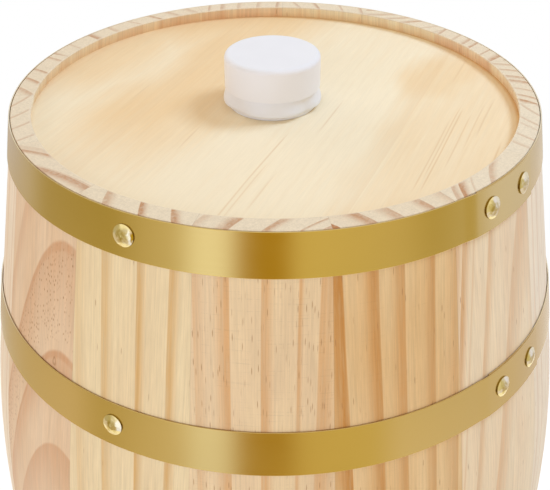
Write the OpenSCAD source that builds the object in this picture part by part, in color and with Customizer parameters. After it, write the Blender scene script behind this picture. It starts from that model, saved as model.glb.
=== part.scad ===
// Upright pine barrel: bulged staves, let-in heads, lapped brass hoops, a plastic liner
// and a screw-capped filler neck.
// The origin is the centre of the foot circle, +Z is up and the shown side faces -Y.
// An azimuth is counted in degrees from -Y, turning towards +X.

/* [Barrel] */
// Length of the barrel, from the foot to the rim
barrel_h = 450; // [360:1:600]
// Outer diameter of the wood at both ends
end_d = 248.5; // [220:0.5:300]
// Outer diameter of the wood at the belly
belly_d = 313; // [280:0.5:380]
// Length of the straight taper at each end, before the staves bend
straight_end = 120; // [60:1:140]

/* [Staves] */
// Number of staves
stave_count = 15; // [10:1:20]
// Thickness of a stave
stave_t = 9.2; // [7:0.1:14]
// Azimuth of the first joint between two staves
joint_az = -14.2; // [-180:0.1:180]
// How far the joints at the sides stand back, because the staves in front are the wider ones, in degrees
joint_sway = 1.4; // [0:0.1:4]
// Radius of the rounded edges of the rim
rim_round = 0.5; // [0.4:0.1:2.5]

/* [Heads] */
// Thickness of a head
head_t = 9; // [7:0.5:14]
// Thickness of a head at its bevelled edge
head_edge_t = 5.5; // [3:0.1:6.5]
// Width of the bevel round a head, inside the staves
head_bevel = 14; // [6:0.5:24]
// Depth of a head's outer face below the end of the staves
head_recess = 5.8; // [3:0.1:12]
// Depth of the groove in the staves that holds a head
croze_depth = 4; // [2:0.1:5]
// Play of a head in its groove
croze_play = 0.2; // [0.05:0.05:0.6]
// Number of boards in a head
board_count = 3; // [3:2:5]
// Direction of the boards, in degrees from +X
grain_angle = 67.5; // [0:0.5:180]
// Diameter of the dowels between the boards
dowel_d = 5; // [3:0.5:6]
// Length of a dowel
dowel_l = 30; // [16:1:40]
// Distance between the two dowels of a seam
dowel_spread = 120; // [60:1:160]
// Play of a dowel in its hole
dowel_play = 0.1; // [0.05:0.05:0.3]

/* [Hoops] */
// Thickness of the hoop strip
hoop_t = 0.6; // [0.4:0.1:1.6]
// Height of the two end hoops
end_hoop_h = 19.2; // [12:0.1:30]
// Distance from the end of the staves to an end hoop
end_hoop_drop = 0.1; // [0:0.1:20]
// Height of the two quarter hoops
quarter_hoop_h = 21.0; // [12:0.1:30]
// Distance from the end of the staves to a quarter hoop
quarter_hoop_drop = 87.5; // [50:0.5:120]
// How much less a hoop tapers than the wood under it, per unit of height
hoop_ease = 0.015; // [0:0.005:0.05]
// Play between a hoop's wide edge and the wood
hoop_play = 0.03; // [0.01:0.01:0.2]
// Length of a lap beyond each of its two rivets
lap_margin = 9; // [7:0.5:16]
// Length over which the outer end climbs onto the inner end
lap_climb = 9; // [4:0.5:16]
// Azimuth of the middle of an end hoop's lap
end_lap_az = 50.0; // [-180:0.1:180]
// Azimuth of the middle of a quarter hoop's lap
quarter_lap_az = 50.6; // [-180:0.1:180]

/* [Hoop fixings] */
// Diameter of a domed head
dome_d = 9.6; // [7:0.1:14]
// Height of a domed head
dome_h = 1.8; // [1.2:0.1:4]
// Height of the straight rim under the dome
dome_rim = 0.5; // [0.2:0.1:1]
// Diameter of a shank
shank_d = 2.6; // [1.6:0.1:3.6]
// Play of a shank in its hole
shank_play = 0.1; // [0.05:0.05:0.3]
// Distance between the two rivets of a lap
rivet_gap = 26; // [16:0.5:40]
// Diameter of the flattened inner end of a rivet
tail_d = 6; // [4:0.1:8]
// Thickness of the flattened inner end of a rivet
tail_t = 0.8; // [0.4:0.1:1.2]
// Length of a nail's shank inside the wood
nail_l = 4; // [3:0.5:6.5]
// Number of nails round a hoop
nail_count = 4; // [2:1:6]
// Angle from the first nail of an end hoop to the middle of its lap
end_nail_angle = 77.7; // [30:0.1:120]
// Angle from the first nail of a quarter hoop to the middle of its lap
quarter_nail_angle = 79.6; // [30:0.1:120]
// Angle from the middle of a lap to the last nail
last_nail_angle = 66.5; // [30:0.5:120]

/* [Liner] */
// Wall of the liner
liner_wall = 2.5; // [1.5:0.1:4]
// Gap between the liner and the staves
liner_gap = 1.5; // [0.5:0.1:5]
// Corner radius of the liner
liner_corner = 18; // [8:1:30]

/* [Filler neck] */
// Place of the filler on the head, counted from the barrel's axis towards +X
filler_x = -1.2; // [-30:0.1:30]
// Outer diameter of the neck
neck_d = 38.4; // [30:0.1:60]
// Wall of the neck
neck_wall = 2.6; // [1.5:0.1:4]
// Width of the flange that holds the neck from inside the liner
flange_lap = 8.2; // [4:0.1:14]
// Thickness of the flange inside the liner
flange_t = 3; // [2:0.1:5]
// Play of the neck in the head and in the liner
neck_play = 0.6; // [0.2:0.1:1]
// Wall of the lock ring between its lobes
ring_wall = 2.4; // [2:0.05:6]
// How far the lobes of the lock ring stand out
lobe_reach = 2.4; // [0.8:0.1:4]
// Number of lobes round the lock ring
ring_lobes = 4; // [3:1:12]
// Radius of the tip of a lobe
lobe_r = 18; // [8:0.5:20]
// Height of the lobed part of the lock ring
ring_h = 7.2; // [4:0.1:12]
// How far the foot of the lock ring covers the head round the hole
foot_lap = 1.9; // [1:0.1:2.4]
// Height of the foot under the lock ring
ring_foot_h = 2.2; // [0.5:0.1:4]
// Play of the lock ring round the neck
ring_play = 0.15; // [0.1:0.05:0.4]
// Radius of the rounded edges of the lock ring
ring_round = 0.6; // [0.3:0.1:1.5]

/* [Cap] */
// Room for the thread between the neck and the cap
thread_room = 1.7; // [1:0.1:3]
// Height of the cap
cap_h = 16; // [12:0.1:26]
// Wall of the cap's skirt
cap_wall = 1.9; // [1.2:0.1:2.4]
// Thickness of the cap's top
cap_top = 2; // [1.4:0.1:4]
// Radius of the rounded upper edge of the cap
cap_round = 2.4; // [0.8:0.1:3]
// Gap between the closed cap and the lock ring
cap_gap = 0.3; // [0.2:0.1:2]
// Thickness of the sealing disc in the cap
seal_t = 1.2; // [0.6:0.1:2]
// Play of the sealing disc in the cap
seal_play = 0.5; // [0.3:0.1:1.2]

/* [Hidden] */
$fn = 96;
bend_steps = 10;
round_step = 22.5;
corner_step = 15;
cut = 1;

half_h = barrel_h / 2;
end_r = end_d / 2;
belly_r = belly_d / 2;

// The straight ends run into one arc without a kink. Its half angle is found by repeated substitution.
bend_l = half_h - straight_end;
swell = belly_r - end_r;
function half_tan(t, n) =
    n == 0 ? t : half_tan(swell / (2 * straight_end / (1 - t * t) + bend_l), n - 1);
taper = 2 * atan(half_tan(0, 12));
bend_r = bend_l / sin(taper);

// Outer radius of the wood, its slope and its inner radius at height z
function wood_r(z) =
    let (u = abs(z - half_h))
    u > bend_l
        ? end_r + (half_h - u) * tan(taper)
        : belly_r - bend_r + sqrt(bend_r * bend_r - u * u);
function wood_slope(z) =
    let (u = abs(z - half_h))
    u > bend_l ? tan(taper) : u / sqrt(bend_r * bend_r - u * u);
function bore_r(z) = wood_r(z) - stave_t;
bend_z = [for (k = [1 : bend_steps]) half_h + bend_r * sin(k * taper / bend_steps)];

stave_step = 360 / stave_count;
// Azimuth at which stave i starts
function stave_az(i) = let (az = joint_az + (i - 1) * stave_step) az + joint_sway * sin(az);
function stave_name(i) = str("stave_", i < 10 ? "0" : "", i);

// Heads: levels of the upper head, radius of its groove and of its edge
head_z = barrel_h - head_recess;
head_in_z = head_z - head_t;
croze_r = bore_r(head_z) + croze_depth;
head_r = croze_r - croze_play;
head_bore_r = bore_r(head_z) - croze_play;
board_w = 2 * head_r / board_count;

// Filler: levels from the head up
neck_r = neck_d / 2;
neck_hole_r = neck_r + neck_play;
flange_r = neck_hole_r + flange_lap;
ring_r = neck_r + ring_play + ring_wall;
ring_tip_r = ring_r + lobe_reach;
ring_foot_r = neck_hole_r + foot_lap;
cap_bore_r = neck_r + thread_room;
cap_r = cap_bore_r + cap_wall;
ring_z = head_z + ring_foot_h;
cap_z = ring_z + ring_h + cap_gap;
seal_z = cap_z + cap_h - cap_top - seal_t;
flange_z = head_in_z - liner_wall - flange_t;

stave_names = [for (i = [1 : stave_count]) stave_name(i)];
board_names = [for (end = ["top", "bottom"], k = [1 : board_count]) str(end, "_head_board_", k)];

// Turns a shape from the upper end to the foot end
module flip() {
    translate([0, 0, barrel_h]) mirror([0, 0, 1]) children();
}

module at_end(end) {
    if (end == "top") children();
    else flip() children();
}

// Moves a shape from the barrel's axis to the filler's
module at_filler() {
    translate([filler_x, 0, 0]) children();
}

// Stands a shape drawn along +X at an azimuth
module at_azimuth(az) {
    rotate([0, 0, az - 90]) children();
}

// Points of a quarter round from angle a to angle b
function arc(x, y, r, a, b, step) =
    let (n = round(abs(b - a) / step))
    [for (k = [0 : n]) [x + r * cos(a + (b - a) * k / n), y + r * sin(a + (b - a) * k / n)]];

// Upper half of a stave's section: up the outside, over the rim and down past the groove
rim_z = barrel_h - rim_round;
stave_upper = concat(
    [[belly_r, half_h]],
    [for (z = bend_z) [wood_r(z), z]],
    arc(wood_r(rim_z) - rim_round, rim_z, rim_round, 0, 90, round_step),
    arc(bore_r(rim_z) + rim_round, rim_z, rim_round, 90, 180, round_step),
    [[bore_r(head_z), head_z], [croze_r, head_z],
     [croze_r, head_z - head_edge_t - croze_play],
     [bore_r(head_z - head_edge_t - croze_play), head_z - head_edge_t - croze_play]],
    [for (k = [bend_steps - 1 : -1 : 0]) [bore_r(bend_z[k]), bend_z[k]]],
    [[belly_r - stave_t, half_h]]
);
stave_section = concat(
    stave_upper,
    [for (k = [len(stave_upper) - 2 : -1 : 1]) [stave_upper[k][0], barrel_h - stave_upper[k][1]]]
);

// Hoops: levels, radii and tilt of a hoop that starts a drop below the end of the staves
function hoop_low(drop, h) = barrel_h - drop - h;
function hoop_slope(drop, h) = wood_slope(hoop_low(drop, h)) - hoop_ease;
function hoop_r(drop, h, up) = wood_r(hoop_low(drop, h)) + hoop_play - up * hoop_slope(drop, h);
function hoop_tilt(drop, h) = atan(hoop_slope(drop, h));
function hoop_angle(drop, h, l) = l / hoop_r(drop, h, h / 2) * 180 / PI;
function rivet_azimuths(drop, h, lap_az) =
    let (half = hoop_angle(drop, h, rivet_gap) / 2) [lap_az - half, lap_az + half];
lap_sink = hoop_t / 3;
function nail_azimuths(lap_az, nail_angle) =
    let (step = (360 - nail_angle - last_nail_angle) / (nail_count - 1))
    [for (k = [0 : nail_count - 1]) lap_az - nail_angle - k * step];

// Section of a hoop's strip from an inner to an outer depth, counted from the wood
module hoop_section(drop, h, inner, outer) {
    low = hoop_low(drop, h);
    wide_r = hoop_r(drop, h, 0);
    narrow_r = hoop_r(drop, h, h);
    polygon([
        [wide_r + inner, low], [wide_r + outer, low],
        [narrow_r + outer, low + h], [narrow_r + inner, low + h]
    ]);
}

// Puts a shape drawn along +Z on the outside of a hoop, pointing away from it
module on_hoop(drop, h, az, lift) {
    at_azimuth(az)
        translate([hoop_r(drop, h, h / 2) + hoop_t + lift, 0, hoop_low(drop, h) + h / 2])
            rotate([0, 90 - hoop_tilt(drop, h), 0]) children();
}

module shank_hole(depth) {
    translate([0, 0, -depth]) cylinder(h = depth + cut, d = shank_d + shank_play);
}

// Half space outside the flat ramp on which the outer end climbs from the hoop onto the lap
module climb_cut(drop, h, az) {
    foot_r = hoop_r(drop, h, h / 2) + hoop_t;
    climb = hoop_angle(drop, h, lap_climb);
    slant = atan2(foot_r + hoop_t - foot_r * cos(climb), foot_r * sin(climb));
    at_azimuth(az) translate([foot_r + hoop_t, 0, hoop_low(drop, h) + h / 2])
        rotate([0, -hoop_tilt(drop, h), 0]) rotate([0, 0, -slant])
            translate([0, -2 * lap_climb, -h]) cube([lap_climb, 2 * lap_climb, 2 * h]);
}

// One strip bent to a ring, with its outer end lapped over its inner end
module hoop(drop, h, lap_az, nail_angle) {
    lap = hoop_angle(drop, h, rivet_gap + 2 * lap_margin);
    run_in = hoop_angle(drop, h, 1.4 * lap_climb);
    start = lap_az - lap / 2;
    hole_depth = 3 * hoop_t;
    color("darkgoldenrod") difference() {
        union() {
            rotate_extrude() hoop_section(drop, h, 0, hoop_t);
            difference() {
                at_azimuth(start - run_in) rotate_extrude(angle = lap + run_in)
                    hoop_section(drop, h, hoop_t - lap_sink, 2 * hoop_t);
                climb_cut(drop, h, start);
            }
        }
        for (az = rivet_azimuths(drop, h, lap_az))
            on_hoop(drop, h, az, hoop_t) shank_hole(hole_depth);
        for (az = nail_azimuths(lap_az, nail_angle))
            on_hoop(drop, h, az, 0) shank_hole(hole_depth);
    }
}

// Domed head with a short straight rim
module dome() {
    bulge = dome_h - dome_rim;
    ball_r = (dome_d * dome_d / 4 + bulge * bulge) / (2 * bulge);
    intersection() {
        translate([0, 0, dome_h - ball_r]) sphere(r = ball_r);
        cylinder(h = dome_h + cut, d = dome_d);
    }
}

// Rivet through both layers of a lap, flattened behind them
module rivet() {
    color("gold") {
        dome();
        translate([0, 0, -2 * hoop_t - tail_t]) cylinder(h = 2 * hoop_t + tail_t, d = shank_d);
        translate([0, 0, -2 * hoop_t - tail_t]) cylinder(h = tail_t, d = tail_d);
    }
}

// Nail through one layer into a stave
module nail() {
    color("gold") {
        dome();
        translate([0, 0, -hoop_t - nail_l]) cylinder(h = hoop_t + nail_l, d = shank_d);
    }
}

module rivets(drop, h, lap_az) {
    for (az = rivet_azimuths(drop, h, lap_az)) on_hoop(drop, h, az, hoop_t) rivet();
}

module nails(drop, h, lap_az, nail_angle) {
    for (az = nail_azimuths(lap_az, nail_angle)) on_hoop(drop, h, az, 0) nail();
}

// The hoop at the end of the staves and the hoop further down, with their fixings
module end_hoop() { hoop(end_hoop_drop, end_hoop_h, end_lap_az, end_nail_angle); }
module quarter_hoop() { hoop(quarter_hoop_drop, quarter_hoop_h, quarter_lap_az, quarter_nail_angle); }
module end_rivets() { rivets(end_hoop_drop, end_hoop_h, end_lap_az); }
module quarter_rivets() { rivets(quarter_hoop_drop, quarter_hoop_h, quarter_lap_az); }
module end_nails() { nails(end_hoop_drop, end_hoop_h, end_lap_az, end_nail_angle); }
module quarter_nails() { nails(quarter_hoop_drop, quarter_hoop_h, quarter_lap_az, quarter_nail_angle); }

// True where a fixing at an azimuth reaches into stave i
function in_stave(i, az) =
    let (width = stave_az(i + 1) - stave_az(i))
    let (off = ((az - stave_az(i) - width / 2) % 360 + 540) % 360 - 180)
    abs(off) < width / 2 + asin(tail_d / end_d);

// Nail holes and hollows for rivet tails that one hoop leaves in stave i
module fixing_cuts(i, drop, h, lap_az, nail_angle) {
    for (az = nail_azimuths(lap_az, nail_angle))
        if (in_stave(i, az)) on_hoop(drop, h, az, 0) shank_hole(hoop_t + nail_l);
    for (az = rivet_azimuths(drop, h, lap_az))
        if (in_stave(i, az)) on_hoop(drop, h, az, hoop_t)
            translate([0, 0, -2 * hoop_t - tail_t])
                cylinder(h = tail_t + hoop_t, d = tail_d + shank_play);
}

module stave(i) {
    color(i % 3 == 0 ? "tan" : i % 3 == 1 ? "burlywood" : "wheat") difference() {
        at_azimuth(stave_az(i))
            rotate_extrude(angle = stave_az(i + 1) - stave_az(i)) polygon(stave_section);
        for (end = ["top", "bottom"]) at_end(end) {
            fixing_cuts(i, end_hoop_drop, end_hoop_h, end_lap_az, end_nail_angle);
            fixing_cuts(i, quarter_hoop_drop, quarter_hoop_h, quarter_lap_az, quarter_nail_angle);
        }
    }
}

// Places a shape at the middle of each dowel, which lies along +X of the boards
module at_dowels() {
    rotate([0, 0, grain_angle - 90])
        for (k = [1 : board_count - 1], side = [-1, 1])
            translate([k * board_w - head_r, side * dowel_spread / 2, head_z - head_t / 2])
                rotate([0, 90, 0]) children();
}

// Board k of the upper head, with its share of the bevelled edge and of the dowel holes
module head_board(k) {
    rotate([0, 0, grain_angle - 90]) translate([(k - 1) * board_w - head_r, -head_r, head_in_z])
        cube([board_w, 2 * head_r, head_t]);
}

module head_disc() {
    rotate_extrude() polygon([
        [0, head_in_z], [head_bore_r - head_bevel, head_in_z], [head_bore_r, head_z - head_edge_t],
        [head_r, head_z - head_edge_t], [head_r, head_z], [0, head_z]
    ]);
}

module top_head_board(k) {
    color("blanchedalmond") difference() {
        intersection() {
            head_disc();
            head_board(k);
        }
        at_dowels() cylinder(h = dowel_l, d = dowel_d + dowel_play, center = true);
        at_filler() translate([0, 0, head_in_z - cut])
            cylinder(h = head_t + 2 * cut, r = neck_hole_r);
    }
}

module bottom_head_board(k) {
    color("blanchedalmond") flip() difference() {
        intersection() {
            head_disc();
            head_board(k);
        }
        at_dowels() cylinder(h = dowel_l, d = dowel_d + dowel_play, center = true);
    }
}

module head_dowels(end) {
    color("peru") at_end(end) at_dowels() cylinder(h = dowel_l, d = dowel_d, center = true);
}

// Outline of the liner, drawn in by an inset, from the axis at the foot to the axis at the top
function liner_r(z) = bore_r(z) - liner_gap;
function liner_outline(inset) =
    let (low = barrel_h - head_in_z + inset, high = head_in_z - inset, c = liner_corner - inset)
    concat(
        [[0, low]],
        arc(liner_r(low + c) - inset - c, low + c, c, -90, 0, corner_step),
        [for (k = [bend_steps - 1 : -1 : 0])
            let (z = barrel_h - bend_z[k]) if (z > low + c) [liner_r(z) - inset, z]],
        [[liner_r(half_h) - inset, half_h]],
        [for (z = bend_z) if (z < high - c) [liner_r(z) - inset, z]],
        arc(liner_r(high - c) - inset - c, high - c, c, 0, 90, corner_step),
        [[0, high]]
    );

// Hollow tank that fills the barrel between the heads, open at the neck
module liner() {
    color("ivory") difference() {
        rotate_extrude() polygon(liner_outline(0));
        rotate_extrude() polygon(liner_outline(liner_wall));
        at_filler() translate([0, 0, head_in_z - liner_wall - cut])
            cylinder(h = liner_wall + 2 * cut, r = neck_hole_r);
    }
}

// Tube through the head, held from inside by its flange
module filler_neck() {
    lip = neck_wall / 3;
    color("whitesmoke") at_filler() rotate_extrude() polygon(concat(
        [[neck_r - neck_wall, flange_z], [flange_r, flange_z],
         [flange_r, flange_z + flange_t], [neck_r, flange_z + flange_t]],
        arc(neck_r - lip, seal_z - lip, lip, 0, 90, round_step),
        arc(neck_r - neck_wall + lip, seal_z - lip, lip, 90, 180, round_step)
    ));
}

// Lobed ring that screws down the neck onto the head
module lock_ring() {
    lobe_at = ring_tip_r - lobe_r;
    edge_r = ring_tip_r - ring_round;
    color("white") at_filler() difference() {
        union() {
            intersection() {
                translate([0, 0, ring_z]) linear_extrude(ring_h) {
                    circle(r = ring_r);
                    for (k = [0 : ring_lobes - 1])
                        rotate(k * 360 / ring_lobes - 90)
                            translate([lobe_at, 0]) circle(r = lobe_r);
                }
                rotate_extrude() polygon(concat(
                    [[0, ring_z]],
                    arc(edge_r, ring_z + ring_round, ring_round, -90, 0, round_step),
                    arc(edge_r, ring_z + ring_h - ring_round, ring_round, 0, 90, round_step),
                    [[0, ring_z + ring_h]]
                ));
            }
            translate([0, 0, head_z]) cylinder(h = ring_foot_h, r = ring_foot_r);
        }
        translate([0, 0, head_z - cut])
            cylinder(h = ring_foot_h + ring_h + 2 * cut, r = neck_r + ring_play);
    }
}

// Screw cap, hollow from below
module cap() {
    color("white") at_filler() rotate_extrude() polygon(concat(
        [[cap_bore_r, cap_z], [cap_r, cap_z]],
        arc(cap_r - cap_round, cap_z + cap_h - cap_round, cap_round, 0, 90, round_step),
        [[0, cap_z + cap_h], [0, cap_z + cap_h - cap_top], [cap_bore_r, cap_z + cap_h - cap_top]]
    ));
}

// Sealing disc between the cap and the lip of the neck
module cap_seal() {
    color("gainsboro") at_filler() translate([0, 0, seal_z])
        cylinder(h = seal_t, r = cap_bore_r - seal_play);
}

for (i = [1 : stave_count])
    stave(i);
for (k = [1 : board_count])
    top_head_board(k);
for (k = [1 : board_count])
    bottom_head_board(k);
for (end = ["top", "bottom"])
    head_dowels(end);
for (end = ["top", "bottom"])
    at_end(end) end_hoop();
for (end = ["top", "bottom"])
    at_end(end) quarter_hoop();
for (end = ["top", "bottom"])
    at_end(end) end_rivets();
for (end = ["top", "bottom"])
    at_end(end) quarter_rivets();
for (end = ["top", "bottom"])
    at_end(end) end_nails();
for (end = ["top", "bottom"])
    at_end(end) quarter_nails();
liner();
filler_neck();
lock_ring();
cap();
cap_seal();
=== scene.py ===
# %% [markdown]
# # An upright pine barrel with brass hoops
# Fifteen bulged staves hold a head at each end, four lapped brass hoops hold the staves, and a white
# screw cap closes the filler neck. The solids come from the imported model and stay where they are. Each
# step below gives some of them a finish, or models what a plain solid can't show.

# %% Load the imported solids
import math
import random

import bpy
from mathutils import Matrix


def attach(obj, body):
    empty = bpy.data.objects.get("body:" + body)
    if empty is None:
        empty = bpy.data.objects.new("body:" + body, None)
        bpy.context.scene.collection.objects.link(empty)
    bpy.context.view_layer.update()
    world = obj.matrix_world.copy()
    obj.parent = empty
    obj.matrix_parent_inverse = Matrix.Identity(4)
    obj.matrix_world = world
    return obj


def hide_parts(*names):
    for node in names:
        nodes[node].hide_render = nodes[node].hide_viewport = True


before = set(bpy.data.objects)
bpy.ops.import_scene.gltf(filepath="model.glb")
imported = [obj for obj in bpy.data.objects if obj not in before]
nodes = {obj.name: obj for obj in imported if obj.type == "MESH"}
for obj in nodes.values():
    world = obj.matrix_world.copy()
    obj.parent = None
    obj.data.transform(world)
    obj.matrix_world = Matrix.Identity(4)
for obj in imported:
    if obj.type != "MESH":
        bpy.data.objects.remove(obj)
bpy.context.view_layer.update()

# %% [markdown]
# ## Measures
# The finishes follow the wood, so they need the same few measures that the solids were drawn from.
# They are kept in millimetres, because a cooper thinks in millimetres, and made metres where Blender
# needs them. The curve of a stave is straight at its ends and one round arc between them. The slope of
# the ends and the arc depend on each other, so the slope is found in a few rounds of the same sum.

# %% Measures of the barrel, in millimetres
MM = 0.001
BARREL_H = 450.0
END_R = 248.5 / 2
BELLY_R = 313.0 / 2
STRAIGHT_END = 120.0
STAVE_COUNT = 15
STAVE_T = 9.2
JOINT_AZ = -14.2
JOINT_SWAY = 1.4
HEAD_DROP = 5.8
TAPER_ROUNDS = 12
HALF_H = BARREL_H / 2
BEND_L = HALF_H - STRAIGHT_END
STAVE_STEP = 360 / STAVE_COUNT
HEAD_Z = BARREL_H - HEAD_DROP

half_tan = 0.0
for _ in range(TAPER_ROUNDS):
    half_tan = (BELLY_R - END_R) / (2 * STRAIGHT_END / (1 - half_tan**2) + BEND_L)
TAPER = 2 * math.atan(half_tan)
BEND_R = BEND_L / math.sin(TAPER)


def stave_az(index):
    """Azimuth at which a stave starts. The staves in front are a little wider than those behind."""
    azimuth = JOINT_AZ + (index - 1) * STAVE_STEP
    return azimuth + JOINT_SWAY * math.sin(math.radians(azimuth))


def wood_r(z):
    """Outer radius of the staves at height z."""
    rise = abs(z - HALF_H)
    if rise > BEND_L:
        return END_R + (HALF_H - rise) * math.tan(TAPER)
    return BELLY_R - BEND_R + math.sqrt(BEND_R**2 - rise**2)


def wood_slope(z):
    """How fast that radius changes with the distance from the belly."""
    rise = abs(z - HALF_H)
    return math.tan(TAPER) if rise > BEND_L else rise / math.sqrt(BEND_R**2 - rise**2)


print("taper of the ends: %.2f degrees, radius of the bend: %.0f mm" % (math.degrees(TAPER), BEND_R))

# %% [markdown]
# ## Camera
# The barrel is seen from in front and above, close enough that the rim and two hoops fill the picture.
# The camera is a plain one: no shift and no depth of field, so that it can be moved round the barrel.

# %% Camera
CAMERA_PLACE = (0.0, -0.4262, 0.6451)
CAMERA_PITCH = 33.70
CAMERA_SENSOR = 36
CAMERA_LENS = 62.97
CAMERA_NEAR = 0.01
bpy.ops.object.select_all(action="DESELECT")
bpy.ops.object.camera_add(
    location=CAMERA_PLACE, rotation=(math.radians(90 - CAMERA_PITCH), 0, 0)
)
camera = bpy.context.object
camera.data.sensor_width = CAMERA_SENSOR
camera.data.lens = CAMERA_LENS
camera.data.clip_start = CAMERA_NEAR
bpy.context.scene.camera = camera
print("camera at", CAMERA_PLACE, "looking", CAMERA_PITCH, "degrees down")

# %% [markdown]
# ## Writing finishes as sums
# A finish is a tree of nodes, and most of its nodes only add, multiply or compare. Wiring those by hand
# hides the idea, so a small class wraps an output socket and turns Python's own signs into Math nodes.
# Every other node comes from one method, which takes the node's type, its settings and its inputs.


# %% Signals
class Signal:
    """An output socket. Arithmetic on it adds Math nodes to its tree."""

    def __init__(self, bench, socket):
        self.bench, self.socket = bench, socket

    def output(self, name):
        return Signal(self.bench, self.socket.node.outputs[name])

    def maths(self, operation, *values):
        return self.bench.node("ShaderNodeMath", {"operation": operation}, dict(enumerate(values)))

    def most(self, other):
        return self.maths("MAXIMUM", self, other)

    def __add__(self, other):
        return self.maths("ADD", self, other)

    def __sub__(self, other):
        return self.maths("SUBTRACT", self, other)

    def __rsub__(self, other):
        return self.maths("SUBTRACT", other, self)

    def __mul__(self, other):
        return self.maths("MULTIPLY", self, other)

    def __truediv__(self, other):
        return self.maths("DIVIDE", self, other)

    def __pow__(self, other):
        return self.maths("POWER", self, other)

    def __gt__(self, other):
        return self.maths("GREATER_THAN", self, other)

    def __abs__(self):
        return self.maths("ABSOLUTE", self)

    __radd__, __rmul__ = __add__, __mul__


print("signals can be added, multiplied and compared")


# %% The bench they are wired on
class Bench:
    """The node tree of a material or a world, emptied, and the method that adds a node to it."""

    def __init__(self, owner):
        owner.use_nodes = True
        self.owner, self.tree = owner, owner.node_tree
        self.tree.nodes.clear()

    def node(self, kind, settings=None, inputs=None, output=0):
        made = self.tree.nodes.new(kind)
        for name, value in (settings or {}).items():
            if name == "stops":
                ramp = made.color_ramp.elements
                while len(ramp) < len(value):
                    ramp.new(1.0)
                for stop, (place, shade) in zip(ramp, value):
                    stop.position, stop.color = place, shade
            else:
                setattr(made, name, value)
        for key, value in (inputs or {}).items():
            if isinstance(value, Signal):
                self.tree.links.new(value.socket, made.inputs[key])
            else:
                made.inputs[key].default_value = value
        return Signal(self, made.outputs[output] if made.outputs else None)


def colour(red, green, blue):
    """A picked screen colour, 0 to 255, as the linear colour that a socket takes."""
    shares = [value / 255 for value in (red, green, blue)]
    return (*[s / 12.92 if s <= 0.04045 else ((s + 0.055) / 1.055) ** 2.4 for s in shares], 1.0)


print("one bench and one signal class serve every finish")

# %% [markdown]
# ## Small tools for patterns
# Patterns are built from a few moves: measure where a point is in millimetres, fade softly between two
# values, read a noise that is stretched along the grain, and mix two colours. The coordinates are the
# object's own, and every solid sits at the origin, so a pattern keeps its place on the barrel.


# %% Pattern tools
def place_mm(bench):
    """The point's x, y and z in millimetres."""
    point = bench.node("ShaderNodeTexCoord", output="Object")
    scaled = bench.node("ShaderNodeVectorMath", {"operation": "SCALE"}, {0: point, "Scale": 1 / MM})
    axes = bench.node("ShaderNodeSeparateXYZ", None, {0: scaled})
    return axes, axes.output("Y"), axes.output("Z")


def vector(bench, x, y, z):
    return bench.node("ShaderNodeCombineXYZ", None, {0: x, 1: y, 2: z})


def fade(signal, low, high, to_low=0.0, to_high=1.0, kind="SMOOTHSTEP"):
    """to_low below low, to_high above high, and a soft step between them."""
    return signal.bench.node(
        "ShaderNodeMapRange",
        {"interpolation_type": kind},
        {"Value": signal, "From Min": low, "From Max": high, "To Min": to_low, "To Max": to_high},
    )


def window(signal, low, high, soft):
    """1 between low and high, fading out over a soft border on both sides."""
    return fade(signal, low - soft, low + soft) * fade(signal, high + soft, high - soft)


def noise(bench, point, detail=2.0, roughness=0.5):
    return bench.node(
        "ShaderNodeTexNoise",
        {"noise_dimensions": "3D"},
        {"Vector": point, "Scale": 1.0, "Detail": detail, "Roughness": roughness},
    )


def mix(factor, below, above, blend="MIX"):
    """The colour below, covered by the colour above as far as the factor says."""
    settings = {"data_type": "RGBA", "blend_type": blend}
    return factor.bench.node("ShaderNodeMix", settings, {0: factor, 6: below, 7: above}, 2)


def shade(signal, tint):
    """A colour made lighter or darker by a number that changes over the surface."""
    grey = signal.bench.node("ShaderNodeCombineColor", None, {0: signal, 1: signal, 2: signal})
    settings = {"data_type": "RGBA", "blend_type": "MULTIPLY"}
    return signal.bench.node("ShaderNodeMix", settings, {0: 1.0, 6: tint, 7: grey}, 2)


def surface(bench, inputs, height=None, depth_mm=0.05):
    """Ends a finish in one Principled shader, with a bump where a height is given."""
    if height is not None:
        bump = {"Strength": 1.0, "Distance": depth_mm * MM, "Height": height}
        inputs["Normal"] = bench.node("ShaderNodeBump", None, bump)
    shader = bench.node("ShaderNodeBsdfPrincipled", None, inputs)
    bench.node("ShaderNodeOutputMaterial", None, {"Surface": shader})
    return bench.owner


def dress(node, finish):
    """Puts one finish on a solid in place of what it came with."""
    node.data.materials.clear()
    node.data.materials.append(finish)


print("pattern tools are ready")

# %% [markdown]
# ## Studio
# A pale floor and a white room make the background. The room is white where the camera looks straight
# at it. Metal mirrors the room, so in mirror rays the room has what a photographer puts round a shiny
# thing: a bright panel in front on the left, a warm dark gap beside it, and softer walls further round.
# The two upper hoops lean differently and look at two heights of that room, so it has an upper and a
# lower ring of walls.

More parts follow.
